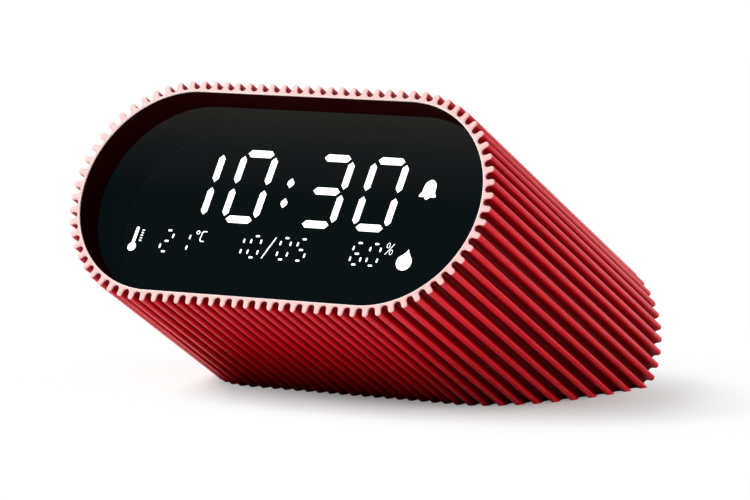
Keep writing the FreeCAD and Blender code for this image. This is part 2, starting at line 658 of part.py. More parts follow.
def button(name, place):
    """A cap that stands out of the cover, with a flange that keeps it in, and its plunger."""
    cap = Piece(name + "_button", "face")
    cap.add("Cap", "flange_rear", "button_rear", button_outline(place, "0"))
    cap.add("Flange", "flange_front", "flange_rear", button_outline(place, "flange_lip"))
    doc.recompute()
    flanged = cap.body.Tip
    rim = ["Edge%d" % index for index, edge in enumerate(flanged.Shape.Edges, start=1)
           if abs(edge.CenterOfMass.z + value("button_rear")) < 1e-6]
    chamfer = cap.body.newObject("PartDesign::Chamfer", "CapEdge")
    chamfer.Base = (flanged, rim)
    chamfer.setExpression("Size", bound("button_chamfer"))
    plunger = Piece(name + "_plunger", "face")
    plunger.add("Plunger", "plunger_front", "flange_front", lambda s: small_round(
        s, "plunger_radius", "(%d*button_pitch)" % place, "button_row"))


def usb_socket_shell():
    Piece("usb_socket_shell", "face").add("Shell", "control_rear", "port_rear", both(
        lambda s: pill(s, "port_run", "port_radius", "0", "port_row"),
        lambda s: pill(s, "port_run", "(port_radius-port_wall)", "0", "port_row")))


def usb_socket_tongue():
    tongue = Piece("usb_socket_tongue", "face")
    tongue.add("Base", "control_rear", "tongue_base_rear", lambda s: centred_box(
        s, "tongue_width", "tongue_base_height", "0", "port_row"))
    tongue.add("Tongue", "tongue_base_rear", "tongue_rear", lambda s: centred_box(
        s, "tongue_width", "tongue_thick", "0", "port_row"))


def slide_switch_body():
    body = Piece("slide_switch_body", "face")
    body.add("Body", "control_rear", "slide_body_rear", lambda s: centred_box(
        s, "slide_body_width", "slide_body_height", "(slider_x+slider_travel/2)", "button_row"))
    body.cut("Slot", "slide_slot_front", "slide_body_rear", slider_slot)


def alarm_slider():
    slider = Piece("alarm_slider", "face")
    slider.add("Stem", "slider_front", "slider_rear", lambda s: centred_box(
        s, "slider_width", "slider_height", "slider_x", "button_row"))
    slider.add("Skirt", "skirt_front", "skirt_rear", lambda s: centred_box(
        s, "skirt_width", "skirt_height", "slider_x", "button_row"))


def humidity_sensor():
    Piece("humidity_sensor", "face").add("Sensor", "control_rear", "sensor_rear", lambda s: centred_box(
        s, "sensor_size", "sensor_size", "vent_x", "button_row"))


def speaker_frame():
    """A shallow cup, open at the cover."""
    frame = Piece("speaker_frame", "face")
    frame.add("Cup", "magnet_rear", "speaker_rear", speaker_round("speaker_radius"))
    frame.cut("Hollow", "magnet_rear+basket_sheet", "speaker_rear", speaker_round("speaker_ring"))


def speaker_cone():
    """A thin sheet with a raised dome."""
    cone = Piece("speaker_cone", "face")
    cone.add("Sheet", "cone_front", "cone_front+cone_sheet", speaker_round("speaker_ring"))
    cone.add("Dome", "cone_front+cone_sheet", "cone_rear", speaker_round("cone_dome"))


def speaker_magnet():
    magnet = Piece("speaker_magnet", "face")
    magnet.add("Magnet", "magnet_front", "magnet_rear", speaker_round("magnet_radius"))


def speaker_gasket():
    Piece("speaker_gasket", "face").add("Ring", "speaker_rear", "case_rear", both(
        speaker_round("speaker_radius"), speaker_round("speaker_ring")))


# Leads inside the case
def ribbon_cable():
    """A flat cable from board to board, hanging a little in between."""
    ribbon = Piece("ribbon_cable", "face")
    sketch = ribbon.body.newObject("Sketcher::SketchObject", "Profile")
    sketch.AttachmentSupport = [(ribbon.plane("YZ_Plane"), "")]
    sketch.MapMode = "FlatFace"
    front, rear = value("main_board_rear+socket_height"), value("control_front-socket_height")
    row, sag, thick = value("ribbon_row"), value("ribbon_sag"), value("ribbon_thick")
    low = [Vector(row, -front, 0), Vector(row - sag, -(front + rear) / 2, 0), Vector(row, -rear, 0)]
    high = [point + Vector(thick, 0, 0) for point in low]
    sketch.addGeometry([Part.Arc(*low), Part.LineSegment(low[2], high[2]),
                        Part.Arc(*high), Part.LineSegment(high[0], low[0])], False)
    pad = ribbon.body.newObject("PartDesign::Pad", "Ribbon")
    pad.Profile = sketch
    pad.SideType = "Symmetric"
    pad.setExpression("Length", bound("ribbon_width"))


def twin_lead(label, plane, offset, corners, thick, bend):
    """A flat twin lead through the corners of a flat route, its runs joined by tangent arcs."""
    piece = Piece(label, "face")
    route = piece.body.newObject("Sketcher::SketchObject", "Route")
    route.AttachmentSupport = [(piece.plane(plane), "")]
    route.MapMode = "FlatFace"
    route.setExpression("AttachmentOffset.Base.z", bound(offset))
    points = [Vector(value(a), value(b), 0) for a, b in corners]
    edges = []
    start = points[0]
    for before, corner, after in zip(points, points[1:], points[2:]):
        back = (before - corner).normalize()
        ahead = (after - corner).normalize()
        half_turn = back.getAngle(ahead) / 2
        centre = corner + (back + ahead).normalize() * (value(bend) / math.sin(half_turn))
        middle = centre + (corner - centre).normalize() * value(bend)
        arc_start, arc_end = (corner + side * (value(bend) / math.tan(half_turn)) for side in (back, ahead))
        edges.append(Part.LineSegment(start, arc_start))
        edges.append(Part.Arc(arc_start, middle, arc_end))
        start = arc_end
    edges.append(Part.LineSegment(start, points[-1]))
    route.addGeometry(edges, False)
    section = piece.body.newObject("Sketcher::SketchObject", "Section")
    section.AttachmentSupport = [(route, "Edge1")]
    section.MapMode = "NormalToEdge"
    centred_box(section, thick, thick)
    pipe = piece.body.newObject("PartDesign::AdditivePipe", "Pipe")
    pipe.Profile = section
    pipe.Spine = (route, [])


def battery_lead():
    """From the end of the battery cell up, then back to the control board."""
    twin_lead("battery_lead", "YZ_Plane", "cell_length/2+battery_lead_thick/2",
              [("lead_start_row", "-lead_start_depth"), ("lead_row", "-lead_start_depth"),
               ("lead_row", "-control_front")], "battery_lead_thick", "battery_lead_bend")


def speaker_lead():
    """From the speaker's basket forward, across and back to the control board."""
    start_x, end_x = "speaker_x+speaker_lead_start", "control_left+speaker_lead_inset"
    twin_lead("speaker_lead", "XZ_Plane", "-speaker_y",
              [(start_x, "-speaker_lead_rear"), (start_x, "-speaker_lead_front"),
               (end_x, "-speaker_lead_front"), (end_x, "-control_front")],
              "speaker_lead_thick", "speaker_lead_bend")


BUTTONS = {"mode": -2, "set": -1, "down": 0, "up": 1, "light": 2}

ribbed_sleeve()
display_lens()
lens_gasket()
lcd_holder()
lcd_panel()
lcd_pins()
light_guide()
led_strip()
main_board()
mcu_chip()
board_capacitors()
ribbon_sockets()
inner_case()
base_plate()
foot_pad()
ballast_plate()
battery_cradle()
battery_cell()
back_cover()
control_board()
tact_switches()
for button_name, button_place in BUTTONS.items():
    button(button_name, button_place)
usb_socket_shell()
usb_socket_tongue()
slide_switch_body()
alarm_slider()
humidity_sensor()
speaker_frame()
speaker_magnet()
speaker_cone()
speaker_gasket()
ribbon_cable()
battery_lead()
speaker_lead()

screws("holder_screws", "face", ("counterbore_rear", "counterbore_rear+screw_length"),
       ("counterbore_rear-screw_head_height", "counterbore_rear"), holder_screw_places)
screws("board_screws", "face", ("main_board_rear-small_screw_length", "main_board_rear"),
       ("main_board_rear", "main_board_rear+small_head_height"), board_screw_places, small=True)
screws("cover_screws", "face", ("cover_counterbore-screw_length", "cover_counterbore"),
       ("cover_counterbore", "cover_counterbore+screw_head_height"), cover_screw_places)
screws("control_screws", "face", ("control_front", "control_front+small_screw_length"),
       ("control_front-small_head_height", "control_front"), control_screw_places, small=True)
screws("base_screws", "level",
       ("base_under+screw_head_height", "base_under+screw_head_height+screw_length"),
       ("base_under", "base_under+screw_head_height"), base_screw_places)
screws("cradle_screws", "level", ("case_floor", "cradle_top"),
       ("cradle_top", "cradle_top+screw_head_height"), cradle_screw_places)

doc.recompute()

failed = [item.Name for item in doc.Objects if "Invalid" in item.State or "Error" in item.State]
bodies = [item for item in doc.Objects if item.TypeId == "PartDesign::Body"]
failed += [body.Label for body in bodies if body.Shape.isNull() or not body.Shape.isValid()]
if failed:
    raise SystemExit("These could not be made: " + ", ".join(failed))

os.makedirs("parts", exist_ok=True)
for body in bodies:
    body.Shape.exportStep("parts/%s.step" % body.Label)
    print("%-18s %3d solids %10.1f mm3" % (body.Label, len(body.Shape.Solids), body.Shape.Volume))
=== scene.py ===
import math

import bmesh
import bpy
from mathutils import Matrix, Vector, geometry

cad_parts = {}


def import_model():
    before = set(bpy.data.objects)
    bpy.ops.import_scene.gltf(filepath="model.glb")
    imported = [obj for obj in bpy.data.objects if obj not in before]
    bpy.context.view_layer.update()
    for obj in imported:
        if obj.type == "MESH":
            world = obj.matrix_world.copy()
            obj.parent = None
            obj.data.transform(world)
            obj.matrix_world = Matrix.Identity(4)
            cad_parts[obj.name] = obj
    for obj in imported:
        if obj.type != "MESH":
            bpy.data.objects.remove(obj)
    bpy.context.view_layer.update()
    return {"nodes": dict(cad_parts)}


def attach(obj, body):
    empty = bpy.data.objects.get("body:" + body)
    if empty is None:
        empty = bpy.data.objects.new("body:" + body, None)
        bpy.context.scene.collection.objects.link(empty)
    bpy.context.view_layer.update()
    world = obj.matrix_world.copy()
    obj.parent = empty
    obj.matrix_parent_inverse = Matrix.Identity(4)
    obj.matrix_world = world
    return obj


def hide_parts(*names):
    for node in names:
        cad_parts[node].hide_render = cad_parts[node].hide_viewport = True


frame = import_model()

MM = 0.001
BODY = "clock"


def pairs(*places):
    """Each place with its mirror image to the left of it."""
    return [(side * x, y) for x, y in places for side in (-1, 1)]


# The model's own dimensions, in millimetres, and its face frame: x to the right, w up the display,
# u the depth behind the rim.
TILT = math.radians(30)
LENGTH = 114
FACE_Y = -LENGTH * math.cos(TILT) / 2
FACE_Z = 62.8

# Sleeve and window. The skin keeps the round crowns inside the solid's facets.
FLAT_RUN, RIM_RADIUS, TIP_RADIUS, VALLEY_RADIUS = 70, 31, 34.5, 31.85
VALLEY_ROUND, TIP_ROUND, TIP_TURN, FLANK_LEAN = 1.0, 0.85, 102, 6.0
FLAT_PITCHES, ROUND_PITCHES = 18, 26
SKIN, OUTER_EASE, BORE_EASE = 0.03, 0.3, 0.35
LENS_RECESS, LENS_REAR, LENS_RADIUS, LENS_EASE = 10.2, 12.0, 30.9, 0.1

# Back cover. Three numbers for a box are its width, height and corner.
CASE_REAR, COVER_REAR, COVER_STEP, COVER_RADIUS, CASE_FLOOR = 109, 111.5, 110.3, 30.7, 3.0
COVER_EASE, LIP, FINE_LIP = 0.35, 0.15, 0.1
VENT_X, VENT_PITCH, VENT_SLOT = 45.5, 2.4, (1.2, 7, 0.55)
SPEAKER, SPEAKER_BORE, SPEAKER_WALL, WALL_FRONT = (-46, 9), 12.2, 13.4, 104
GRILLE_REACH, GRILLE_PITCH, GRILLE_WIDTH, GRILLE_CORNER = 9.4, 2.6, 1.3, 0.6
BOARD_REAR, POST_RADIUS, POST_BORE, POST_BORE_DEPTH = 105, 1.9, 1.05, 3
BOARD_POSTS = pairs((29, 18.5), (18, 2.4))

# Buttons, slider and inlet. The dish is steps of (depth below the top, inset).
BUTTONS = {"mode": -2, "set": -1, "down": 0, "up": 1, "light": 2}
BUTTON_PITCH, BUTTON_ROW, BUTTON_REAR, FLANGE_FRONT, FLANGE_REAR = 12, 8, 112.5, 107.9, 108.9
BUTTON_HOLE, BUTTON_CAP, FLANGE = (9.5, 5.5, 1.6), (9.1, 5.1, 1.4), (10.9, 6.9, 1.8)
BUTTON_EASE, DISH = 0.5, [(0, 0.45), (0, 0.6), (0.07, 0.8), (0.14, 1.25)]
MARK_ROOT, MARK_TOP = 0.2, 0.06
SLIDER_X, SLIDER_TRAVEL, SLIDER_FRONT, SLIDER_REAR = 35.5, 2, 106.9, 112.3
SKIRT_FRONT, SKIRT_REAR = 108.45, 108.85
SLIDER_SLOT, STEM, SKIRT, RIDGE = (5.4, 2.4, 0.5), (3, 2, 0.3), (7, 3.2, 0.5), (0.4, 1.3, 0.15)
STEM_EASE, RIDGE_PITCH, RIDGE_HEIGHT, RIDGE_EASE = 0.2, 0.8, 0.25, 0.08
PORT_ROW, PORT_RUN, PORT_RADIUS, PORT_REAR = 19.5, 5.68, 1.63, 111.2
PORT_GAP, PORT_WALL, PORT_EASE, PORT_LIP = 0.2, 0.3, 0.1, 0.08

# Screws and foot pad. The head's steps are (depth below the top, inset).
COVER_SCREWS = pairs((22, 26), (60.9, 0))
BASE_SCREWS = pairs((30, 1.5), (57.5, 26))
COVER_SCREW_TIP, BASE_SCREW_TIP, BASE_SCREW_SEAT, BASE_SCREW_TOP = 102.3, 10, 2, 0.8
SCREW_RADIUS, SCREW_HOLE, HEAD_RADIUS, HEAD_SPACE = 1.25, 1.6, 2.2, 0.85
POINT_LENGTH, POINT_INSET, HEAD_ROUND = 0.8, 0.6, [(0.4, 0), (0.12, 0.16), (0, 0.5)]
CROSS_REACH, CROSS_HALF, CROSS_DEPTH, CROSS_DRAFT = 1.15, 0.24, 0.75, 0.08
PAD_TOP, PAD_EASE, PAD_CORNERS = 2.0, 0.3, [(29, 5.5), (33, 9.5), (54, 34), (50, 38)]
CHANNELS, CHANNEL_FRONT, CHANNEL_PITCH, CHANNEL_RADIUS = 7, 10.5, 3.8, 0.7
CHANNEL_RUN, CHANNEL_SPREAD, CHANNEL_DEPTH, CHANNEL_DRAFT = 52, 1.6, 0.5, 0.1


def on_face(x, w, u):
    return Vector((x, FACE_Y + u * math.cos(TILT) + w * math.sin(TILT),
                   FACE_Z - u * math.sin(TILT) + w * math.cos(TILT))) * MM


def level(x, y, z):
    return Vector((x, y, z)) * MM


# Materials
def shader(name):
    material = bpy.data.materials.new(name)
    material.use_nodes = True
    nodes = material.node_tree.nodes
    links = material.node_tree.links
    return material, nodes, links, nodes["Principled BSDF"]


def noise(nodes, links, coordinates, scale, detail=3.0, stretch=(1, 1, 1)):
    mapping = nodes.new("ShaderNodeMapping")
    mapping.inputs["Scale"].default_value = stretch
    texture = nodes.new("ShaderNodeTexNoise")
    texture.inputs["Scale"].default_value = scale
    texture.inputs["Detail"].default_value = detail
    links.new(coordinates, mapping.inputs["Vector"])
    links.new(mapping.outputs["Vector"], texture.inputs["Vector"])
    return texture.outputs["Fac"]


def ramp(nodes, links, factor, stops):
    """Colours along a factor: stops are (position, colour)."""
    node = nodes.new("ShaderNodeValToRGB")
    elements = node.color_ramp.elements
    while len(elements) < len(stops):
        elements.new(0.5)
    for element, (position, colour) in zip(elements, stops):
        element.position = position
        element.color = (*colour, 1)
    links.new(factor, node.inputs["Fac"])
    return node.outputs["Color"]


def grey_ramp(nodes, links, factor, stops):
    """Numbers along a factor: stops are (position, number)."""
    return ramp(nodes, links, factor, [(position, (number,) * 3) for position, number in stops])


def spread(nodes, links, factor, low, high):
    """Stretches the middle of a noise over a range."""
    node = nodes.new("ShaderNodeMapRange")
    for socket, number in (("From Min", 0.3), ("From Max", 0.7), ("To Min", low), ("To Max", high)):
        node.inputs[socket].default_value = number
    links.new(factor, node.inputs["Value"])
    return node.outputs["Result"]


def moulded(name, colour, rough, mottle=0.06, mottle_scale=90, grain=0.12, grain_scale=2600,
            stretch=(1, 1, 1), **sockets):
    """A surface with a slow drift of tone, a fine grain and an uneven gloss."""
    material, nodes, links, principled = shader(name)
    place = nodes.new("ShaderNodeTexCoord").outputs["Object"]
    drift = noise(nodes, links, place, mottle_scale, detail=4)
    dark = [c * (1 - mottle) for c in colour]
    light = [min(1, c * (1 + mottle)) for c in colour]
    tone = ramp(nodes, links, drift, [(0.3, dark), (0.7, light)])
    links.new(tone, principled.inputs["Base Color"])
    fine = noise(nodes, links, place, grain_scale, detail=2, stretch=stretch)
    bump = nodes.new("ShaderNodeBump")
    bump.inputs["Strength"].default_value = grain
    bump.inputs["Distance"].default_value = 0.00005
    links.new(fine, bump.inputs["Height"])
    links.new(bump.outputs["Normal"], principled.inputs["Normal"])
    links.new(spread(nodes, links, fine, rough - 0.04, rough + 0.04), principled.inputs["Roughness"])
    for socket, number in sockets.items():
        principled.inputs[socket.replace("_", " ")].default_value = number
    return material


def groove_shaded(material, attribute, painted_groove_shade, gloss):
    """Paints shade into the grooves: the colour darkens with an attribute of the mesh, and the gloss dims
    with it.
    """
    nodes, links = material.node_tree.nodes, material.node_tree.links
    principled = nodes["Principled BSDF"]
    socket = principled.inputs["Base Color"]
    depth = nodes.new("ShaderNodeAttribute")
    depth.attribute_name = attribute
    tone = ramp(nodes, links, depth.outputs["Fac"], painted_groove_shade)
    mix = nodes.new("ShaderNodeMix")
    mix.data_type, mix.blend_type = "RGBA", "MULTIPLY"
    mix.inputs["Factor"].default_value = 1.0
    colours = [s for s in mix.inputs if s.type == "RGBA"]
    links.new(socket.links[0].from_socket, colours[0])
    links.new(tone, colours[1])
    links.new([s for s in mix.outputs if s.type == "RGBA"][0], socket)
    dulled = grey_ramp(nodes, links, depth.outputs["Fac"], gloss)
    links.new(dulled, principled.inputs["Specular IOR Level"])
    return material


def lens_material():
    """Near-black gloss that glows a little, lighter towards the top: a painted reflection."""
    material, nodes, links, principled = shader("lens_painted_reflection")
    place = nodes.new("ShaderNodeTexCoord").outputs["Object"]
    split = nodes.new("ShaderNodeSeparateXYZ")
    links.new(place, split.inputs["Vector"])
    reach = nodes.new("ShaderNodeMapRange")
    half_height = 30
    reach.inputs["From Min"].default_value = on_face(0, -half_height, LENS_RECESS).z
    reach.inputs["From Max"].default_value = on_face(0, half_height, LENS_RECESS).z
    links.new(split.outputs["Z"], reach.inputs["Value"])
    # The glow is a painted reflection, faint at the bottom and lighter towards the top.
    tone = ramp(nodes, links, reach.outputs["Result"],
                [(0.0, (0.0022, 0.005, 0.006)), (0.55, (0.0024, 0.0052, 0.006)),
                 (0.8, (0.008, 0.010, 0.0105)), (1.0, (0.018, 0.018, 0.016))])
    links.new(tone, principled.inputs["Emission Color"])
    principled.inputs["Emission Strength"].default_value = 1.0
    principled.inputs["Base Color"].default_value = (0.0004, 0.0004, 0.0004, 1)
    cloud = noise(nodes, links, place, scale=40, detail=2)
    links.new(spread(nodes, links, cloud, low=0.07, high=0.1), principled.inputs["Roughness"])
    principled.inputs["Specular IOR Level"].default_value = 0.2
    return material


def lit_material():
    material, nodes, links, principled = shader("lit_white")
    place = nodes.new("ShaderNodeTexCoord").outputs["Object"]
    cloud = noise(nodes, links, place, scale=300, detail=2)
    tone = ramp(nodes, links, cloud, [(0.3, (0.97, 0.985, 1.0)), (0.7, (1.0, 1.0, 1.0))])
    links.new(tone, principled.inputs["Emission Color"])
    links.new(tone, principled.inputs["Base Color"])
    principled.inputs["Emission Strength"].default_value = 1.0
    principled.inputs["Roughness"].default_value = 0.6
    return material


RED = moulded("slider_red", (0.60, 0.002, 0.01), 0.36, mottle=0.05, grain=0.06, Specular_IOR_Level=0.15)
# The ribs' red darkens with groove depth: painted shade in the grooves.
RIBS = groove_shaded(
    moulded("rib_red", (0.66, 0.003, 0.014), 0.34, mottle=0.05, grain=0.06, grain_scale=3200),
    "groove_depth",
    painted_groove_shade=[(0.08, (1, 1, 1)), (0.45, (0.6, 0.5, 0.5)), (0.9, (0.24, 0.17, 0.17))],
    gloss=[(0.1, 0.3), (0.6, 0.06)],
)
# The rim's pale pink is painted sheen on what is the same red as the ribs.
RIM_PAINTED_SHEEN = moulded("rim_painted_sheen", (0.95, 0.57, 0.55), 0.45, mottle=0.02, grain=0.06, grain_scale=3200)
# The paler inner edge of the rim is a painted highlight.
RIM_EDGE_HIGHLIGHT = moulded("rim_edge_painted_highlight", (0.96, 0.78, 0.73), 0.45, mottle=0.02, grain=0.06, grain_scale=3200)
# The bore's near-black red is painted shade on the recess walls, which are the sleeve's red.
BORE_PAINTED_SHADE = moulded("bore_painted_shade", (0.022, 0.0001, 0.0001), 0.5, mottle=0.05, grain=0.10, Specular_IOR_Level=0.05)
CHARCOAL = moulded("cover_charcoal", (0.035, 0.034, 0.036), 0.5, mottle=0.12, grain=0.35, grain_scale=1800)
CASE = moulded("case_charcoal", (0.022, 0.022, 0.024), 0.55, mottle=0.1, grain=0.3, grain_scale=1500)
KEY = moulded("key_grey", (0.085, 0.083, 0.086), 0.4, mottle=0.06, grain=0.12)
PAINT = moulded("sign_paint", (0.62, 0.62, 0.6), 0.5, mottle=0.04, grain=0.08)
RUBBER = moulded("pad_rubber", (0.018, 0.018, 0.018), 0.75, mottle=0.2, grain=0.5, grain_scale=900)
FOAM = moulded("foam_black", (0.03, 0.03, 0.03), 0.9, mottle=0.3, grain=0.8, grain_scale=700)
WHITE = moulded("holder_white", (0.74, 0.74, 0.71), 0.5)
STEEL = moulded("zinc_steel", (0.55, 0.55, 0.56), 0.3, mottle=0.08, grain=0.15, stretch=(1, 8, 1),
                Metallic=1.0)
TIN = moulded("bright_tin", (0.66, 0.66, 0.64), 0.22, mottle=0.05, grain=0.1, Metallic=1.0)
LENS = lens_material()
LIT = lit_material()
GLASS = moulded("lcd_glass", (0.02, 0.024, 0.028), 0.08, mottle=0.05, grain=0.02)
GUIDE = moulded("guide_clear", (0.82, 0.86, 0.86), 0.15, mottle=0.03, grain=0.02)
BOARD = moulded("board_green", (0.02, 0.17, 0.07), 0.35, mottle=0.35, mottle_scale=400)
CHIP = moulded("chip_black", (0.015, 0.015, 0.016), 0.45, mottle=0.2)
CREAM = moulded("socket_cream", (0.68, 0.63, 0.5), 0.45)
CELL = moulded("cell_wrap", (0.05, 0.16, 0.36), 0.3, mottle=0.05)
MAGNET = moulded("magnet_grey", (0.17, 0.17, 0.18), 0.6, mottle=0.2, grain=0.5, Metallic=0.6)
FILM = moulded("cone_film", (0.42, 0.38, 0.27), 0.35, mottle=0.1)
FLEX = moulded("flex_white", (0.76, 0.78, 0.8), 0.4, stretch=(12, 1, 1), mottle=0.1)
LEAD = moulded("lead_red", (0.4, 0.015, 0.015), 0.4)

NODE_MATERIALS = {
    "lens_gasket": FOAM, "lcd_holder": WHITE, "lcd_panel": GLASS, "lcd_pins": TIN, "light_guide": GUIDE,
    "led_strip": WHITE, "main_board": BOARD, "mcu_chip": CHIP, "board_capacitors": TIN,
    "ribbon_sockets": CREAM, "inner_case": CASE, "base_plate": CASE, "foot_pad": RUBBER,
    "ballast_plate": STEEL, "battery_cradle": CASE, "battery_cell": CELL, "back_cover": CHARCOAL,
    "control_board": BOARD, "tact_switches": CHIP, "usb_socket_shell": TIN, "usb_socket_tongue": CHIP,
    "slide_switch_body": TIN, "alarm_slider": RED, "humidity_sensor": CHIP, "speaker_frame": STEEL,
    "speaker_magnet": MAGNET, "speaker_cone": FILM, "speaker_gasket": FOAM, "ribbon_cable": FLEX,
    "battery_lead": LEAD, "speaker_lead": LEAD, "holder_screws": STEEL, "board_screws": STEEL,
    "cover_screws": STEEL, "control_screws": STEEL, "base_screws": STEEL, "cradle_screws": STEEL,
    "display_lens": LENS, "ribbed_sleeve": RED,
}
for key in BUTTONS:
    NODE_MATERIALS[key + "_button"] = KEY
    NODE_MATERIALS[key + "_plunger"] = CHIP
for label, node in frame["nodes"].items():
    node.data.materials.clear()
    node.data.materials.append(NODE_MATERIALS[label])


# Outlines: points anticlockwise round a closed shape
def arc(x, y, radius, start, end, steps):
    angles = [math.radians(start + (end - start) * k / steps) for k in range(steps + 1)]
    return [(x + radius * math.cos(a), y + radius * math.sin(a)) for a in angles]


def circle(x, y, radius, steps=32):
    return arc(x, y, radius, 0, 360, steps)[:-1]


def rounded_box(x, y, width, height, corner, steps=6):
    across, up = width / 2 - corner, height / 2 - corner
    return (arc(x + across, y + up, corner, 0, 90, steps)
            + arc(x - across, y + up, corner, 90, 180, steps)
            + arc(x - across, y - up, corner, 180, 270, steps)
            + arc(x + across, y - up, corner, 270, 360, steps))


def pill(run, radius, steps=48, x=0, y=0):
    return arc(x + run / 2, y, radius, -90, 90, steps) + arc(x - run / 2, y, radius, 90, 270, steps)


def cross(x, y, reach, half_width):
    """Four arms, each a quarter turn on from the last."""
    arm = [(reach, -half_width), (reach, half_width), (half_width, half_width)]
    points = []
    for turn in range(4):
        points += [(x + a, y + b) for a, b in arm]
        arm = [(-b, a) for a, b in arm]
    return points


def drawn_in(outline, inset):
    """The outline moved to its left, which is inwards for an anticlockwise one."""
    points = [Vector(p) for p in outline]
    moved = []
    for before, here, after in zip(points[-1:] + points[:-1], points, points[1:] + points[:1]):
        a, b = (here - before).normalized(), (after - here).normalized()
        left_a, left_b = Vector((-a.y, a.x)), Vector((-b.y, b.x))
        moved.append(here + (left_a + left_b) * (inset / (1 + left_a.dot(left_b))))
    return [tuple(p) for p in moved]


def hole(outline):
    return outline[::-1]


# Solids: outlines stacked in steps of (depth, inset), with walls between them and caps at the ends
ROUND_TURNS = (0, 30, 60, 90)


def rounding(radius):
    """Steps of (depth, inset) from a flat end round its edge to the wall."""
    if not radius:
        return [(0, 0)]
    turns = [math.radians(a) for a in ROUND_TURNS]
    return [(radius * (1 - math.cos(a)), radius * (1 - math.sin(a))) for a in turns]


def eased(start, end, round_start, round_end):
    """Steps of a slab whose two edges are rounded."""
    first = [(start + depth, inset) for depth, inset in rounding(round_start)]
    last = [(end - depth, inset) for depth, inset in rounding(round_end)]
    return first + last[::-1]


def band(bm, low, high, index=0):
    """Faces between two rings with as many vertices in each."""
    count = len(low)
    for k in range(count):
        face = bm.faces.new((low[k], low[(k + 1) % count], high[(k + 1) % count], high[k]))
        face.material_index = index


def walls(bm, outline, steps, place):
    """Walls through the steps. Gives the first and the last ring of vertices."""
    rings = []
    for depth, inset in steps:
        points = drawn_in(outline, inset) if inset else outline
        rings.append([bm.verts.new(place(x, y, depth)) for x, y in points])
    for low, high in zip(rings, rings[1:]):
        band(bm, low, high)
    return rings[0], rings[-1]


def cap(bm, rings):
    """A flat face inside the first ring and outside the others."""
    flat = [v for ring in rings for v in ring]
    for triangle in geometry.tessellate_polygon([[v.co for v in ring] for ring in rings]):
        bm.faces.new([flat[i] for i in triangle])


def solid(bm, parts, place):
    """The first part is the outside and the others are holes through it: each an outline and its steps."""
    ends = [walls(bm, outline, steps, place) for outline, steps in parts]
    cap(bm, [first for first, last in ends])
    cap(bm, [last for first, last in ends])


def closed_end(bm, outline, steps, place):
    """A boss or a blind recess. Gives the ring at its open end."""
    mouth, end = walls(bm, outline, steps, place)
    cap(bm, [end])
    return mouth


def cut_level(bm, height):
    """Takes off what is below a height and closes the cut."""
    cut = bmesh.ops.bisect_plane(bm, geom=bm.verts[:] + bm.edges[:] + bm.faces[:], dist=1e-7,
                                 plane_co=(0, 0, height * MM), plane_no=(0, 0, 1), clear_inner=True)
    edges = [e for e in cut["geom_cut"] if isinstance(e, bmesh.types.BMEdge)]
    bmesh.ops.triangle_fill(bm, edges=edges, use_beauty=False)


def piece(name, bm, body, materials, nodes=(), sharp=32):
    bmesh.ops.recalc_face_normals(bm, faces=bm.faces[:])
    mesh = bpy.data.meshes.new(name)
    bm.to_mesh(mesh)
    bm.free()
    mesh.shade_smooth()
    mesh.set_sharp_from_angle(angle=math.radians(sharp))
    for material in materials:
        mesh.materials.append(material)
    obj = bpy.data.objects.new(name, mesh)
    bpy.context.scene.collection.objects.link(obj)
    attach(obj, body)
    if nodes:
        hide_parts(*nodes)


# Ribbed sleeve
def half_groove(inset):
    """Right half of a groove from its floor to the crown of the rib, as (across, radius)."""
    valley = arc(0, VALLEY_RADIUS + VALLEY_ROUND, VALLEY_ROUND + inset, -90, -FLANK_LEAN, steps=6)
    tip = arc(FLAT_RUN / FLAT_PITCHES / 2, TIP_RADIUS - TIP_ROUND, TIP_ROUND - inset,
              180 - FLANK_LEAN, TIP_TURN, steps=4)
    return valley + tip


def rib_outline(inset):
    """The ribbed outline, clockwise from the top left, drawn in by the inset."""
    half = half_groove(inset)
    groove = [(-t, r) for t, r in reversed(half)] + half[1:]
    crown = TIP_RADIUS - inset
    flat_step = FLAT_RUN / FLAT_PITCHES
    turn_step = 180 / ROUND_PITCHES
    points = []
    for side in (1, -1):
        for k in range(FLAT_PITCHES):
            middle = -FLAT_RUN / 2 + (k + 0.5) * flat_step
            points += [(side * (middle + t), side * r) for t, r in groove]
            points.append((side * (middle + flat_step / 2), side * crown))
        for k in range(ROUND_PITCHES):
            turn = math.radians((k + 0.5) * turn_step)
            edge = math.radians((k + 1) * turn_step)
            along, out = (math.cos(turn), -math.sin(turn)), (math.sin(turn), math.cos(turn))
            points += [(side * (FLAT_RUN / 2 + t * along[0] + r * out[0]),
                        side * (t * along[1] + r * out[1])) for t, r in groove]
            points.append((side * (FLAT_RUN / 2 + crown * math.sin(edge)), side * crown * math.cos(edge)))
    return points


def pill_point(x, y, radius):
    """The point of a pill outline nearest to a point outside it."""
    centre = max(-FLAT_RUN / 2, min(FLAT_RUN / 2, x))
    reach = math.hypot(x - centre, y)
    return centre + (x - centre) * radius / reach, y * radius / reach


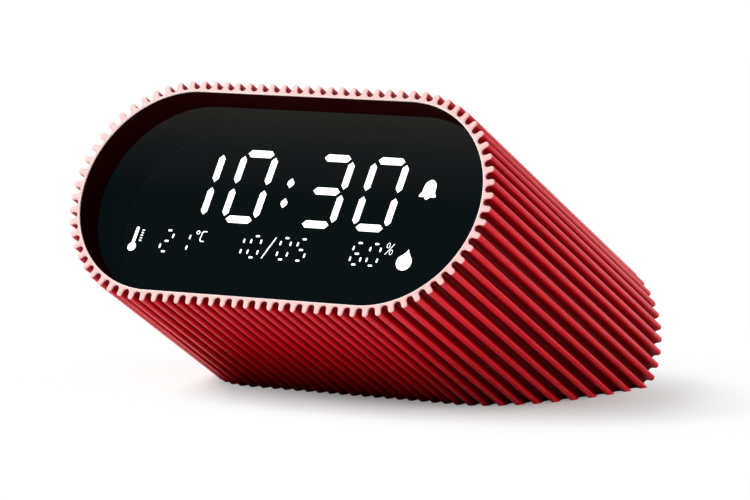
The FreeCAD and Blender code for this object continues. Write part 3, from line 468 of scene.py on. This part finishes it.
def sleeve():
    """A tube of rings with as many points round the bore as round the ribs."""
    bm = bmesh.new()
    # Each vertex keeps how deep it lies in a groove, which drives the painted shade on the ribs.
    layer = bm.verts.layers.float.new("groove_depth")
    outer = []
    for depth, inset in eased(0, LENGTH, OUTER_EASE, OUTER_EASE):
        ring = []
        for x, w in rib_outline(inset + SKIN):
            vertex = bm.verts.new(on_face(x, w, depth))
            reach = math.hypot(max(0, abs(x) - FLAT_RUN / 2), w)
            vertex[layer] = (TIP_RADIUS - reach) / (TIP_RADIUS - VALLEY_RADIUS)
            ring.append(vertex)
        outer.append(ring)
    base = rib_outline(0)
    inner = []
    for depth, inset in eased(0, LENGTH, BORE_EASE, BORE_EASE):
        ring = [pill_point(x, w, RIM_RADIUS + inset) for x, w in base]
        inner.append([bm.verts.new(on_face(x, w, depth)) for x, w in ring])
    # The rim's front bands carry the painted sheen, the bore's front bands the painted highlight of its
    # edge, and the rest of the bore painted shade.
    ribs, rim, bore, edge = range(4)
    front_bands = len(ROUND_TURNS) - 1
    for rings, front, rest in ((outer, rim, ribs), (inner, edge, bore)):
        for k in range(len(rings) - 1):
            band(bm, rings[k], rings[k + 1], front if k < front_bands else rest)
    band(bm, outer[0], inner[0], rim)
    band(bm, outer[-1], inner[-1], ribs)
    cut_level(bm, 0)
    piece("ribbed_sleeve_shell", bm, BODY, [RIBS, RIM_PAINTED_SHEEN, BORE_PAINTED_SHADE, RIM_EDGE_HIGHLIGHT], ["ribbed_sleeve"],
          sharp=40)


def lens():
    bm = bmesh.new()
    outline = pill(FLAT_RUN, LENS_RADIUS, steps=64)
    solid(bm, [(outline, eased(LENS_RECESS, LENS_REAR, LENS_EASE, 0))], on_face)
    piece("display_window", bm, BODY, [LENS], ["display_lens"], sharp=50)


# Back cover and its controls
def cover_holes():
    """The holes for the controls, as outlines and steps."""
    lip = [(CASE_REAR, 0), (COVER_REAR - LIP, 0), (COVER_REAR, LIP)]
    sunk = [(CASE_REAR, 0), (COVER_STEP, 0), (COVER_STEP, HEAD_SPACE), (COVER_REAR - FINE_LIP, HEAD_SPACE),
            (COVER_REAR, HEAD_SPACE + FINE_LIP)]
    holes = [(rounded_box(place * BUTTON_PITCH, BUTTON_ROW, *BUTTON_HOLE), lip)
             for place in BUTTONS.values()]
    holes += [(circle(x, w, SCREW_HOLE, steps=24), sunk) for x, w in COVER_SCREWS]
    holes.append((rounded_box(SLIDER_X + SLIDER_TRAVEL / 2, BUTTON_ROW, *SLIDER_SLOT), lip))
    holes.append((pill(PORT_RUN, PORT_RADIUS + PORT_GAP, steps=16, y=PORT_ROW), lip))
    holes += [(rounded_box(VENT_X + k * VENT_PITCH, BUTTON_ROW, *VENT_SLOT), lip)
              for k in (-1.5, -0.5, 0.5, 1.5)]
    grille = []
    for k in range(-3, 4):
        across = k * GRILLE_PITCH
        height = 2 * math.sqrt(GRILLE_REACH ** 2 - across ** 2)
        slot = rounded_box(SPEAKER[0] + across, SPEAKER[1], GRILLE_WIDTH, height, GRILLE_CORNER)
        grille.append((slot, lip))
    return holes, grille


def cover():
    """A plate with its holes, the wall round the speaker and the posts under the control board."""
    bm = bmesh.new()
    plate = pill(FLAT_RUN, COVER_RADIUS, steps=64)
    outer = walls(bm, plate, eased(CASE_REAR, COVER_REAR, 0, COVER_EASE), on_face)
    holes, grille = cover_holes()
    through = [walls(bm, hole(outline), steps, on_face) for outline, steps in holes]
    slots = [walls(bm, hole(outline), steps, on_face) for outline, steps in grille]
    wall = [walls(bm, circle(*SPEAKER, radius, steps=64), [(CASE_REAR, 0), (WALL_FRONT, 0)], on_face)
            for radius in (SPEAKER_WALL, SPEAKER_BORE)]
    cap(bm, [wall[0][1], wall[1][1]])
    rise = [(CASE_REAR, 0), (BOARD_REAR, 0)]
    blind = [(BOARD_REAR, 0), (BOARD_REAR + POST_BORE_DEPTH, 0)]
    posts = []
    for x, w in BOARD_POSTS:
        root, tip = walls(bm, circle(x, w, POST_RADIUS, steps=24), rise, on_face)
        bore = closed_end(bm, circle(x, w, POST_BORE, steps=16), blind, on_face)
        cap(bm, [tip, bore])
        posts.append(root)
    cap(bm, [outer[0], wall[0][0]] + [first for first, last in through] + posts)
    cap(bm, [wall[1][0]] + [first for first, last in slots])
    cap(bm, [outer[1]] + [last for first, last in through + slots])
    cut_level(bm, CASE_FLOOR)
    piece("back_cover_shell", bm, BODY, [CHARCOAL], ["back_cover"])


def ray(x, y, turn, near, far, width):
    """A short bar that points away from a centre."""
    c, s = math.cos(math.radians(turn)), math.sin(math.radians(turn))
    corners = ((near, -width / 2), (far, -width / 2), (far, width / 2), (near, width / 2))
    return [(x + c * a - s * b, y + s * a + c * b) for a, b in corners]


def mark(name, x, w):
    """The raised sign on a button, as outlines with their holes."""
    if name == "mode":
        pitch, stroke = 0.75, (2.2, 0.36, 0.16)
        return [[rounded_box(x, w + k * pitch, *stroke)] for k in (-1, 0, 1)]
    if name == "set":
        outside, inside = 1.0, 0.68
        return [[circle(x, w, outside), hole(circle(x, w, inside))]]
    if name == "light":
        disc, near, far, width = 0.5, 0.75, 1.15, 0.26
        return [[circle(x, w, disc)]] + [[ray(x, w, 45 * k, near, far, width)] for k in range(8)]
    half, foot, tip = 1.05, 0.6, 0.9
    up = 1 if name == "up" else -1
    return [[[(x - up * half, w - up * foot), (x + up * half, w - up * foot), (x, w + up * tip)]]]


def button(name, x):
    """A cap with a shallow dish on top and the flange that keeps it in, and its raised sign."""
    bm = bmesh.new()
    flange = walls(bm, rounded_box(x, BUTTON_ROW, *FLANGE), [(FLANGE_FRONT, 0), (FLANGE_REAR, 0)], on_face)
    steps = eased(FLANGE_REAR, BUTTON_REAR, 0, BUTTON_EASE)[:-1]
    steps += [(BUTTON_REAR - depth, inset) for depth, inset in DISH]
    root, top = walls(bm, rounded_box(x, BUTTON_ROW, *BUTTON_CAP), steps, on_face)
    cap(bm, [flange[0]])
    cap(bm, [flange[1], root])
    cap(bm, [top])
    piece(name + "_button_cap", bm, name + "_key", [KEY], [name + "_button"])
    bm = bmesh.new()
    thickness = [(BUTTON_REAR - MARK_ROOT, 0), (BUTTON_REAR - MARK_TOP, 0)]
    for shape in mark(name, x, BUTTON_ROW):
        solid(bm, [(outline, thickness) for outline in shape], on_face)
    piece(name + "_button_sign", bm, name + "_key", [PAINT])


def slider():
    """A stem with three ridges on its end and the skirt that covers the slot."""
    bm = bmesh.new()
    stem, skirt = rounded_box(SLIDER_X, BUTTON_ROW, *STEM), rounded_box(SLIDER_X, BUTTON_ROW, *SKIRT)
    stem_end = SLIDER_REAR - RIDGE_HEIGHT
    low = walls(bm, stem, [(SLIDER_FRONT, 0), (SKIRT_FRONT, 0)], on_face)
    plate = walls(bm, skirt, [(SKIRT_FRONT, 0), (SKIRT_REAR, 0)], on_face)
    high = walls(bm, stem, eased(SKIRT_REAR, stem_end, 0, STEM_EASE), on_face)
    cap(bm, [low[0]])
    cap(bm, [low[1], plate[0]])
    cap(bm, [plate[1], high[0]])
    rise = [(stem_end, 0), (SLIDER_REAR - RIDGE_EASE, 0), (SLIDER_REAR, RIDGE_EASE)]
    ridges = [closed_end(bm, rounded_box(SLIDER_X + k * RIDGE_PITCH, BUTTON_ROW, *RIDGE), rise, on_face)
              for k in (-1, 0, 1)]
    cap(bm, [high[1]] + ridges)
    piece("alarm_slider_knob", bm, "alarm_slide", [RED], ["alarm_slider"])


def port():
    bm = bmesh.new()
    outside = pill(PORT_RUN, PORT_RADIUS, steps=16, y=PORT_ROW)
    inside = hole(pill(PORT_RUN, PORT_RADIUS - PORT_WALL, steps=16, y=PORT_ROW))
    solid(bm, [(outside, eased(BOARD_REAR, PORT_REAR, 0, PORT_EASE)),
               (inside, [(BOARD_REAR, 0), (PORT_REAR - PORT_LIP, 0), (PORT_REAR, PORT_LIP)])], on_face)
    piece("usb_socket_tube", bm, BODY, [TIN], ["usb_socket_shell"])


def screws(name, node, places, tip, seat, top, place):
    """Screws with a crossed recess, each from its tip to its seat and the top of its head."""
    bm = bmesh.new()
    out = 1 if top > seat else -1
    shank = [(seat, 0), (tip + out * POINT_LENGTH, 0), (tip, POINT_INSET)]
    head = [(seat, 0)] + [(top - out * depth, inset) for depth, inset in HEAD_ROUND]
    sunk = [(top, 0), (top - out * CROSS_DEPTH, CROSS_DRAFT)]
    for x, y in places:
        under = closed_end(bm, circle(x, y, SCREW_RADIUS, steps=20), shank, place)
        seated, crown = walls(bm, circle(x, y, HEAD_RADIUS), head, place)
        recess = closed_end(bm, cross(x, y, CROSS_REACH, CROSS_HALF), sunk, place)
        cap(bm, [seated, under])
        cap(bm, [crown, recess])
    piece(name, bm, BODY, [STEEL], [node])


def pad():
    """The rubber foot, with shallow channels across it."""
    bm = bmesh.new()
    outline = PAD_CORNERS + [(-x, y) for x, y in PAD_CORNERS[::-1]]
    bottom, top = walls(bm, outline, eased(0, PAD_TOP, PAD_EASE, 0), level)
    channels = []
    for k in range(CHANNELS):
        back = CHANNEL_PITCH * k
        run = CHANNEL_RUN + CHANNEL_SPREAD * back
        channel = pill(run, CHANNEL_RADIUS, steps=8, y=CHANNEL_FRONT + back)
        channels.append(closed_end(bm, channel, [(0, 0), (CHANNEL_DEPTH, CHANNEL_DRAFT)], level))
    cap(bm, [bottom] + channels)
    cap(bm, [top])
    piece("foot_pad_tread", bm, BODY, [RUBBER], ["foot_pad"])


# Signs on the display. A style is a digit's size, with the places of its middle and its strokes.
SIGN_FRONT, SIGN_REAR, SLANT = LENS_RECESS - 0.04, LENS_RECESS - 0.005, 0.0724
SEGMENTS = {"0": "abcdef", "1": "bc", "2": "abged", "3": "abgcd", "5": "afgcd", "6": "afgedc"}
BIG = dict(middle=6.45, width=10.5, run=10.3, across_gap=0.85, up_gap=0.87, across_stroke=2.2,
           up_stroke=2.1, point=1.1)
SMALL = dict(middle=-11.85, width=3.36, run=3.3, across_gap=0.95, up_gap=0.95, across_stroke=0.56,
             up_stroke=0.54, point=0.22)
TIME = (("1", -34.4), ("0", -16.55), ("3", 9.25), ("0", 27.15))
DATE = (("1", -15.2), ("0", -9.5), ("0", 0.45), ("5", 6.2))
TEMPERATURE, HUMIDITY = (("2", -39.5), ("1", -33.7)), (("6", 24.75), ("0", 30.2))
COLON_DOTS, BELL, THERMOMETER = ((-3.3, 8.3), (-3.75, 2.07)), (42.4, 8.65), (-50.85, -14.3)
DEGREE, PERCENT_RINGS = (-29.52, -8.61), ((34.27, -8.73), (35.52, -10.74))


def sign(name, shapes):
    """Thin lit shapes just in front of the window: each an outline and the holes in it."""
    bm = bmesh.new()
    steps = [(SIGN_FRONT, 0), (SIGN_REAR, 0)]
    for shape in shapes:
        solid(bm, [(outline, steps) for outline in shape], on_face)
    piece(name, bm, BODY, [LIT])


def bar(x0, y0, x1, y1, width, point):
    """A straight stroke whose two ends come to a point over the given length."""
    start, end = Vector((x0, y0)), Vector((x1, y1))
    along = (end - start).normalized()
    side = Vector((-along.y, along.x)) * width / 2
    a, b = start + along * point, end - along * point
    return [[tuple(p) for p in (start, a - side, b - side, end, b + side, a + side)]]


def bent(points, width):
    """A bent stroke with square ends."""
    points = [Vector(p) for p in points]
    runs = [(b - a).normalized() for a, b in zip(points, points[1:])]
    right, left = [], []
    for here, before, after in zip(points, runs[:1] + runs, runs + runs[-1:]):
        side = Vector((-before.y - after.y, before.x + after.x)) * (width / 2 / (1 + before.dot(after)))
        right.append(tuple(here - side))
        left.append(tuple(here + side))
    return [right + left[::-1]]


def leaning(outline, x, y):
    """An outline about the origin, moved to its place and slanted like the digits."""
    return [(x + px + SLANT * py, y + py) for px, py in outline]


def digit(character, x, middle, width, run, across_gap, up_gap, across_stroke, up_stroke, point):
    """A seven-segment digit that leans to the right. x is its centre at its middle height."""
    half, reach = width / 2, width / 2 - across_gap
    spans = {"a": (-reach, run, reach, run), "g": (-reach, 0, reach, 0), "d": (-reach, -run, reach, -run),
             "b": (half, run - up_gap, half, up_gap), "c": (half, -up_gap, half, up_gap - run),
             "f": (-half, run - up_gap, -half, up_gap), "e": (-half, -up_gap, -half, up_gap - run)}
    shapes = []
    for name in SEGMENTS[character]:
        x0, y0, x1, y1 = spans[name]
        ends = leaning([(x0, y0), (x1, y1)], x, middle)
        stroke = up_stroke if name in "bcef" else across_stroke
        shapes.append(bar(*ends[0], *ends[1], stroke, point))
    return shapes


def number(figures, style):
    return [shape for character, x in figures for shape in digit(character, x, **style)]


def colon():
    lean, half, width, point = 0.11, 1.52, 2.1, 1.1
    return [bar(x + lean, y + half, x - lean, y - half, width, point) for x, y in COLON_DOTS]


def slash():
    foot, head, width, point = (-6.19, -15.26), (-2.99, -8.56), 0.36, 0.1
    return bar(*foot, *head, width, point)


def degree():
    """The small ring and the letter next to it."""
    outside, inside, stroke = 0.6, 0.34, 0.27
    ring = [circle(*DEGREE, outside, steps=20), hole(circle(*DEGREE, inside, steps=20))]
    letter = bent([(-26.57, -8.25), (-27.7, -8.25), (-28.12, -8.65), (-28.22, -9.6), (-28.4, -10.7),
                   (-28.05, -11.27), (-26.88, -11.3)], stroke)
    return [ring, letter]


def oval_ring(x, y, width, height, stroke):
    short = 0.02
    outer = rounded_box(0, 0, width, height, width / 2 - short)
    inner = rounded_box(0, 0, width - 2 * stroke, height - 2 * stroke, width / 2 - stroke - short)
    return [leaning(outer, x, y), hole(leaning(inner, x, y))]


def percent():
    foot, head, width, point = (33.7, -11.58), (36.14, -8.16), 0.19, 0.08
    ring = (1.0, 1.6, 0.15)
    return [bar(*foot, *head, width, point)] + [oval_ring(x, y, *ring) for x, y in PERCENT_RINGS]


def bell():
    right = [(0.3, 3.15), (1.0, 2.75), (1.6, 2.2), (1.95, 1.2), (2.0, 0.1), (2.1, -0.7), (2.7, -1.65),
             (2.65, -2.1), (0.8, -2.15), (0.6, -2.6), (0.25, -2.85)]
    return [[leaning([(-x, y) for x, y in right] + right[::-1], *BELL)]]


def thermometer():
    tube_top, tube_radius, bulb_radius, neck = 5.75, 0.52, 1.36, 22
    tick_start, tick_end, tick_low, tick_pitch, ticks, stroke = 1.75, 2.5, 2.05, 0.81, 5, 0.36
    tube = arc(0, tube_top, tube_radius, 0, 180, steps=8)
    bulb = arc(0, 0, bulb_radius, 90 + neck, 450 - neck, steps=28)
    shapes = [[leaning(tube + bulb, *THERMOMETER)]]
    for k in range(ticks):
        y = tick_low + k * tick_pitch
        shapes.append(bent(leaning([(tick_start, y), (tick_end, y)], *THERMOMETER), stroke))
    return shapes


def drop():
    left, right = [(41.04, -9.5), (40.7, -10.15), (39.9, -11.0)], [(42.15, -11.5), (41.45, -10.5)]
    belly, radius = (40.5, -13.45), 2.48
    return [[left + arc(*belly, radius, 148, 388, steps=24) + right]]


def signs():
    sign("time_digits", number(TIME, BIG))
    sign("time_colon", colon())
    sign("date_digits", number(DATE, SMALL) + [slash()])
    sign("temperature_digits", number(TEMPERATURE, SMALL))
    sign("degree_sign", degree())
    sign("humidity_digits", number(HUMIDITY, SMALL))
    sign("percent_sign", percent())
    sign("bell_sign", bell())
    sign("thermometer_sign", thermometer())
    sign("drop_sign", drop())


sleeve()
lens()
signs()
cover()
for key, place in BUTTONS.items():
    button(key, place * BUTTON_PITCH)
slider()
port()
screws("cover_screws_crossed", "cover_screws", COVER_SCREWS, COVER_SCREW_TIP, COVER_STEP, COVER_REAR,
       on_face)
screws("base_screws_crossed", "base_screws", BASE_SCREWS, BASE_SCREW_TIP, BASE_SCREW_SEAT,
       BASE_SCREW_TOP, level)
pad()

# Floor, light and camera. The stops say how much of the floor is plain white, by distance in metres,
# as it is seen and in gloss. The seen distance is squeezed to follow the clock's long foot.
FLOOR_HALF, FLOOR_CELLS, FLOOR_TONE = 6, 8, 0.92
FOOT_SQUEEZE, FOOT_SHIFT = (0.55, 1, 1), (-0.003, -0.018, 0)
SHADE_STOPS = [(0.028, 0.22), (0.046, 0.6), (0.064, 0.95), (0.12, 0.98), (0.6, 1)]
GLOSS_STOPS = [(0.15, 0), (0.3, 0.16), (0.45, 0.5), (0.6, 0.84), (0.75, 1)]
WORLD_FILL, GLOSS_OVERHEAD, GLOSS_LOW, GLOSS_HIGH = 0.01, 0.05, 0.15, 0.45

# Each lamp's bearing from the front, its height in degrees and its power in watts
LAMPS = {"key": (-45, 50, 29), "right_low": (100, 12, 8.5), "rear_low": (150, 12, 8)}
LAMP_DISTANCE, LAMP_SIDE, TARGET = 1.5, 0.6, Vector((0, 0, 0.04))

# The camera, as fitted to the photograph
CAMERA_PLACE, CAMERA_TURNS = (0.688298, -1.12311, 0.210587), (82.6942, 0.5842, 31.3418)
CAMERA_LENS, SENSOR_WIDTH, CLIP_END = 218.42, 36, 50


def white_share(nodes, links, place, seen, squeeze, shift, stops):
    """How white the floor is for one kind of ray, by its distance from the clock."""
    mapping = nodes.new("ShaderNodeMapping")
    mapping.inputs["Scale"].default_value = squeeze
    mapping.inputs["Location"].default_value = shift
    links.new(place, mapping.inputs["Vector"])
    length = nodes.new("ShaderNodeVectorMath")
    length.operation = "LENGTH"
    links.new(mapping.outputs["Vector"], length.inputs[0])
    share = nodes.new("ShaderNodeMath")
    share.operation = "MULTIPLY"
    links.new(seen, share.inputs[0])
    links.new(grey_ramp(nodes, links, length.outputs["Value"], stops), share.inputs[1])
    return share.outputs["Value"]


def floor_material():
    material, nodes, links, principled = shader("floor_white")
    principled.inputs["Base Color"].default_value = (FLOOR_TONE, FLOOR_TONE, FLOOR_TONE, 1)
    principled.inputs["Roughness"].default_value = 0.7
    principled.inputs["Specular IOR Level"].default_value = 0.1
    glow = nodes.new("ShaderNodeEmission")
    glow.inputs["Color"].default_value = (1, 1, 1, 1)
    glow.inputs["Strength"].default_value = 1.0
    place = nodes.new("ShaderNodeTexCoord").outputs["Object"]
    path = nodes.new("ShaderNodeLightPath").outputs
    seen = white_share(nodes, links, place, path["Is Camera Ray"], FOOT_SQUEEZE, FOOT_SHIFT, SHADE_STOPS)
    gloss = white_share(nodes, links, place, path["Is Glossy Ray"], (1, 1, 1), (0, 0, 0), GLOSS_STOPS)
    share = nodes.new("ShaderNodeMath")
    share.operation = "ADD"
    links.new(seen, share.inputs[0])
    links.new(gloss, share.inputs[1])
    mix = nodes.new("ShaderNodeMixShader")
    links.new(share.outputs["Value"], mix.inputs["Fac"])
    links.new(principled.outputs["BSDF"], mix.inputs[1])
    links.new(glow.outputs["Emission"], mix.inputs[2])
    links.new(mix.outputs["Shader"], nodes["Material Output"].inputs["Surface"])
    return material


def floor():
    bm = bmesh.new()
    bmesh.ops.create_grid(bm, x_segments=FLOOR_CELLS, y_segments=FLOOR_CELLS, size=FLOOR_HALF)
    mesh = bpy.data.meshes.new("floor")
    bm.to_mesh(mesh)
    bm.free()
    mesh.materials.append(floor_material())
    obj = bpy.data.objects.new("floor", mesh)
    bpy.context.scene.collection.objects.link(obj)


def world():
    """White where it is seen, dim as a lamp. In gloss it is white low down and dark overhead."""
    scene_world = bpy.data.worlds.new("studio")
    bpy.context.scene.world = scene_world
    scene_world.use_nodes = True
    nodes, links = scene_world.node_tree.nodes, scene_world.node_tree.links
    background = nodes["Background"]
    split = nodes.new("ShaderNodeSeparateXYZ")
    links.new(nodes.new("ShaderNodeTexCoord").outputs["Generated"], split.inputs["Vector"])
    height = nodes.new("ShaderNodeMapRange")
    height.interpolation_type = "SMOOTHSTEP"
    height.inputs["From Min"].default_value = GLOSS_LOW
    height.inputs["From Max"].default_value = GLOSS_HIGH
    height.inputs["To Min"].default_value = 1.0
    height.inputs["To Max"].default_value = GLOSS_OVERHEAD
    links.new(split.outputs["Z"], height.inputs["Value"])
    path = nodes.new("ShaderNodeLightPath")
    glossy = nodes.new("ShaderNodeMix")
    glossy.inputs["A"].default_value = WORLD_FILL
    links.new(path.outputs["Is Glossy Ray"], glossy.inputs["Factor"])
    links.new(height.outputs["Result"], glossy.inputs["B"])
    seen = nodes.new("ShaderNodeMath")
    seen.operation = "MAXIMUM"
    links.new(path.outputs["Is Camera Ray"], seen.inputs[0])
    links.new(path.outputs["Is Transmission Ray"], seen.inputs[1])
    strength = nodes.new("ShaderNodeMix")
    strength.inputs["B"].default_value = 1.0
    links.new(seen.outputs["Value"], strength.inputs["Factor"])
    links.new(glossy.outputs["Result"], strength.inputs["A"])
    links.new(strength.outputs["Result"], background.inputs["Strength"])
    background.inputs["Color"].default_value = (1, 1, 1, 1)


def lamp(name, bearing, height, power):
    """A square lamp that looks at the clock and doesn't show in gloss."""
    data = bpy.data.lights.new(name, "AREA")
    data.shape = "SQUARE"
    data.size = LAMP_SIDE
    data.energy = power
    turn, rise = math.radians(bearing), math.radians(height)
    offset = Vector((math.cos(rise) * math.sin(turn), -math.cos(rise) * math.cos(turn), math.sin(rise)))
    obj = bpy.data.objects.new(name, data)
    obj.location = TARGET + LAMP_DISTANCE * offset
    obj.rotation_euler = (-offset).to_track_quat("-Z", "Y").to_euler()
    obj.visible_glossy = False
    bpy.context.scene.collection.objects.link(obj)


def camera():
    data = bpy.data.cameras.new("camera")
    data.sensor_width = SENSOR_WIDTH
    data.lens = CAMERA_LENS
    data.clip_end = CLIP_END
    obj = bpy.data.objects.new("camera", data)
    obj.location = CAMERA_PLACE
    obj.rotation_euler = [math.radians(a) for a in CAMERA_TURNS]
    bpy.context.scene.collection.objects.link(obj)
    bpy.context.scene.camera = obj


floor()
world()
for key, (bearing, height, power) in LAMPS.items():
    lamp(key, bearing, height, power)
camera()
bpy.context.scene.view_settings.view_transform = "Standard"
